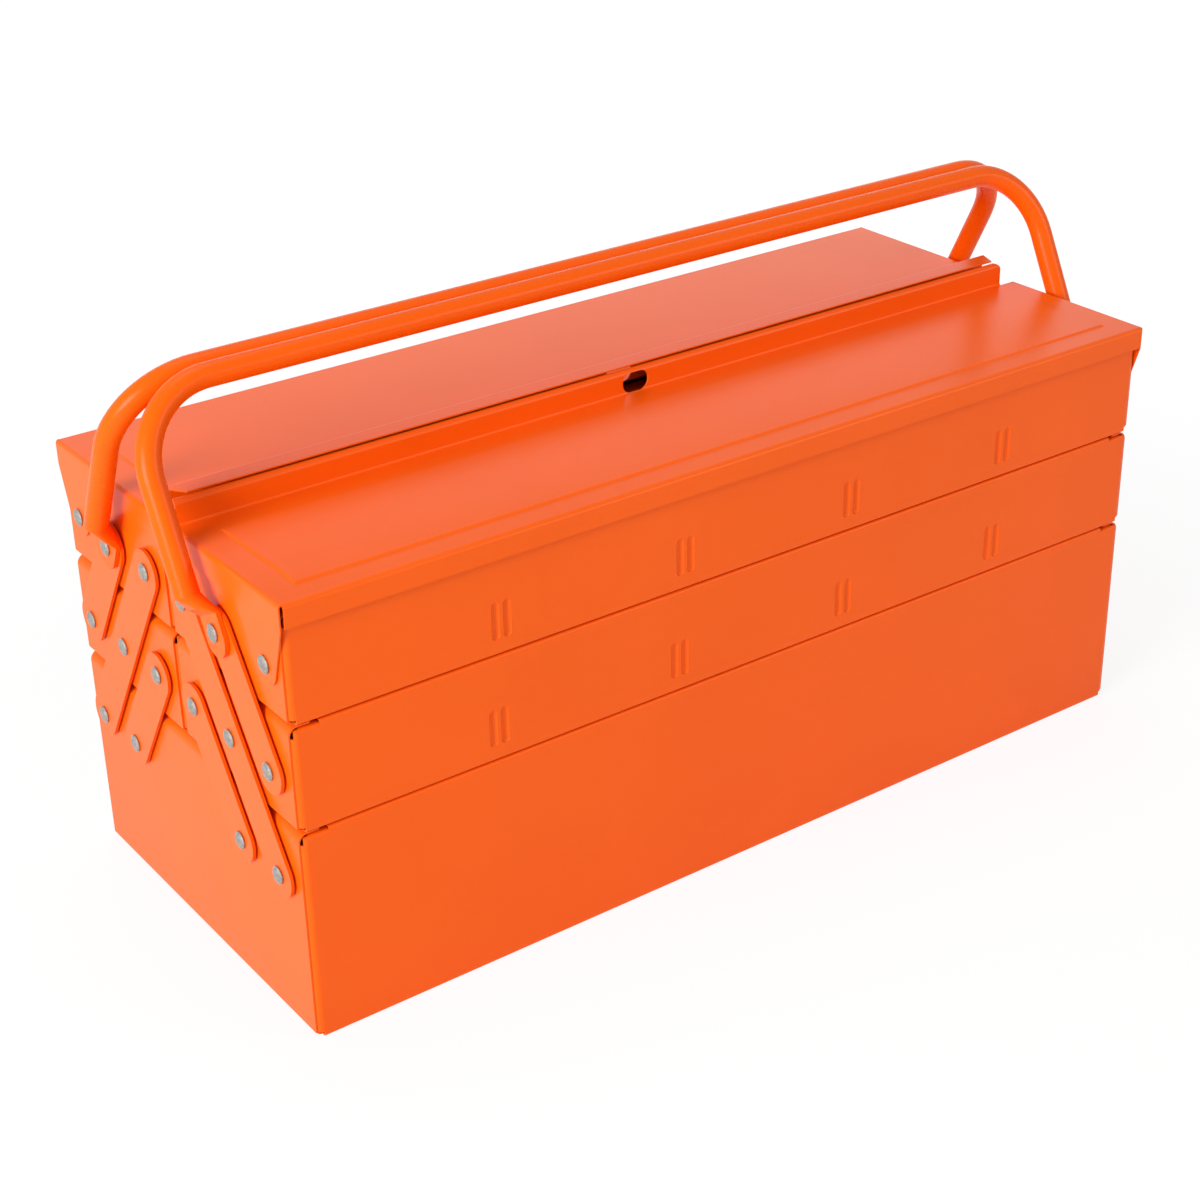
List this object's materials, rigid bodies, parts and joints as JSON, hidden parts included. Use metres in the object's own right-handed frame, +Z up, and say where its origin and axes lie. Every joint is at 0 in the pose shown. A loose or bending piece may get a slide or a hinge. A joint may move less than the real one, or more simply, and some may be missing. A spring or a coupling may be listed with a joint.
{
  "type": "cantilever tool box",
  "caption": "Steel cantilever tool box: trays on coupled flat arms swing out over a bottom box, with hinged lids, folding tube handles and a padlock hole.",
  "frame": {"origin": "centre of the flat underside, on the surface the box stands on", "axes": "+X along the length, -Y towards the front long side (the half whose lid carries the upright wall with the padlock hole), +Z up"},
  "size_m": [0.566, 0.2284, 0.3],
  "materials": {
    "orange_sheet": "smooth satin powder coat",
    "orange_arm": "smooth satin powder coat",
    "orange_tube": "powder coat with a fine orange-peel skin",
    "rivet_steel": "plain zinc-plated steel"
  },
  "bodies": {
    "bottom_box": {"bottom_shell": "orange_sheet", "bottom_end_left": "orange_sheet", "bottom_end_right": "orange_sheet", "bottom_rivets": "rivet_steel"},
    "front_long_arms": {"front_long_arm_left": "orange_arm", "front_long_arm_right": "orange_arm"},
    "front_lower_arms": {"front_lower_arm_left": "orange_arm", "front_lower_arm_right": "orange_arm"},
    "front_middle_tray": {"front_middle_shell": "orange_sheet", "front_middle_end_left": "orange_sheet", "front_middle_end_right": "orange_sheet", "front_middle_rivets": "rivet_steel"},
    "front_upper_arms": {"front_upper_arm_left": "orange_arm", "front_upper_arm_right": "orange_arm"},
    "front_top_tray": {"front_top_shell": "orange_sheet", "front_top_end_left": "orange_sheet", "front_top_end_right": "orange_sheet", "front_top_rivets": "rivet_steel"},
    "front_lid_cover": {"front_lid": "orange_sheet"},
    "front_carry_handle": {"front_handle": "orange_tube"},
    "back_long_arms": {"back_long_arm_left": "orange_arm", "back_long_arm_right": "orange_arm"},
    "back_lower_arms": {"back_lower_arm_left": "orange_arm", "back_lower_arm_right": "orange_arm"},
    "back_middle_tray": {"back_middle_shell": "orange_sheet", "back_middle_end_left": "orange_sheet", "back_middle_end_right": "orange_sheet", "back_middle_rivets": "rivet_steel"},
    "back_upper_arms": {"back_upper_arm_left": "orange_arm", "back_upper_arm_right": "orange_arm"},
    "back_top_tray": {"back_top_shell": "orange_sheet", "back_top_end_left": "orange_sheet", "back_top_end_right": "orange_sheet", "back_top_rivets": "rivet_steel"},
    "back_lid_cover": {"back_lid": "orange_sheet"},
    "back_carry_handle": {"back_handle": "orange_tube"}
  },
  "joints": [
    {"name": "front_open", "type": "hinge", "parent": "bottom_box", "child": "front_long_arms", "pos_m": [0, -0.092, 0.084], "axis": [1, 0, 0], "range_deg": [0, 66]},
    {"name": "front_lower_arm_swing", "type": "hinge", "parent": "bottom_box", "child": "front_lower_arms", "pos_m": [0, -0.0555, 0.084], "axis": [1, 0, 0], "range_deg": [0, 66]},
    {"name": "front_middle_level", "type": "hinge", "parent": "front_long_arms", "child": "front_middle_tray", "pos_m": [0, -0.0555, 0.13925], "axis": [1, 0, 0], "range_deg": [-66, 0]},
    {"name": "front_top_level", "type": "hinge", "parent": "front_long_arms", "child": "front_top_tray", "pos_m": [0, -0.019, 0.1945], "axis": [1, 0, 0], "range_deg": [-66, 0]},
    {"name": "front_upper_arm_swing", "type": "hinge", "parent": "front_middle_tray", "child": "front_upper_arms", "pos_m": [0, -0.092, 0.13925], "axis": [1, 0, 0], "range_deg": [0, 66]},
    {"name": "front_lid_swing", "type": "hinge", "parent": "front_top_tray", "child": "front_lid_cover", "pos_m": [0, -0.095, 0.1945], "axis": [1, 0, 0], "range_deg": [0, 110]},
    {"name": "front_handle_swing", "type": "hinge", "parent": "front_top_tray", "child": "front_carry_handle", "pos_m": [0, -0.0555, 0.1945], "axis": [1, 0, 0], "range_deg": [0, 168]},
    {"name": "back_open", "type": "hinge", "parent": "bottom_box", "child": "back_long_arms", "pos_m": [0, 0.092, 0.084], "axis": [-1, 0, 0], "range_deg": [0, 66]},
    {"name": "back_lower_arm_swing", "type": "hinge", "parent": "bottom_box", "child": "back_lower_arms", "pos_m": [0, 0.0555, 0.084], "axis": [-1, 0, 0], "range_deg": [0, 66]},
    {"name": "back_middle_level", "type": "hinge", "parent": "back_long_arms", "child": "back_middle_tray", "pos_m": [0, 0.0555, 0.13925], "axis": [-1, 0, 0], "range_deg": [-66, 0]},
    {"name": "back_top_level", "type": "hinge", "parent": "back_long_arms", "child": "back_top_tray", "pos_m": [0, 0.019, 0.1945], "axis": [-1, 0, 0], "range_deg": [-66, 0]},
    {"name": "back_upper_arm_swing", "type": "hinge", "parent": "back_middle_tray", "child": "back_upper_arms", "pos_m": [0, 0.092, 0.13925], "axis": [-1, 0, 0], "range_deg": [0, 66]},
    {"name": "back_lid_swing", "type": "hinge", "parent": "back_top_tray", "child": "back_lid_cover", "pos_m": [0, 0.095, 0.1945], "axis": [-1, 0, 0], "range_deg": [0, 110]},
    {"name": "back_handle_swing", "type": "hinge", "parent": "back_top_tray", "child": "back_carry_handle", "pos_m": [0, 0.0555, 0.1945], "axis": [-1, 0, 0], "range_deg": [0, 168]}
  ],
  "couplings": [
    {"joint": "front_lower_arm_swing", "follows": "front_open", "ratio": 1},
    {"joint": "front_middle_level", "follows": "front_open", "ratio": -1},
    {"joint": "front_top_level", "follows": "front_open", "ratio": -1},
    {"joint": "front_upper_arm_swing", "follows": "front_open", "ratio": 1},
    {"joint": "back_lower_arm_swing", "follows": "back_open", "ratio": 1},
    {"joint": "back_middle_level", "follows": "back_open", "ratio": -1},
    {"joint": "back_top_level", "follows": "back_open", "ratio": -1},
    {"joint": "back_upper_arm_swing", "follows": "back_open", "ratio": 1}
  ]
}
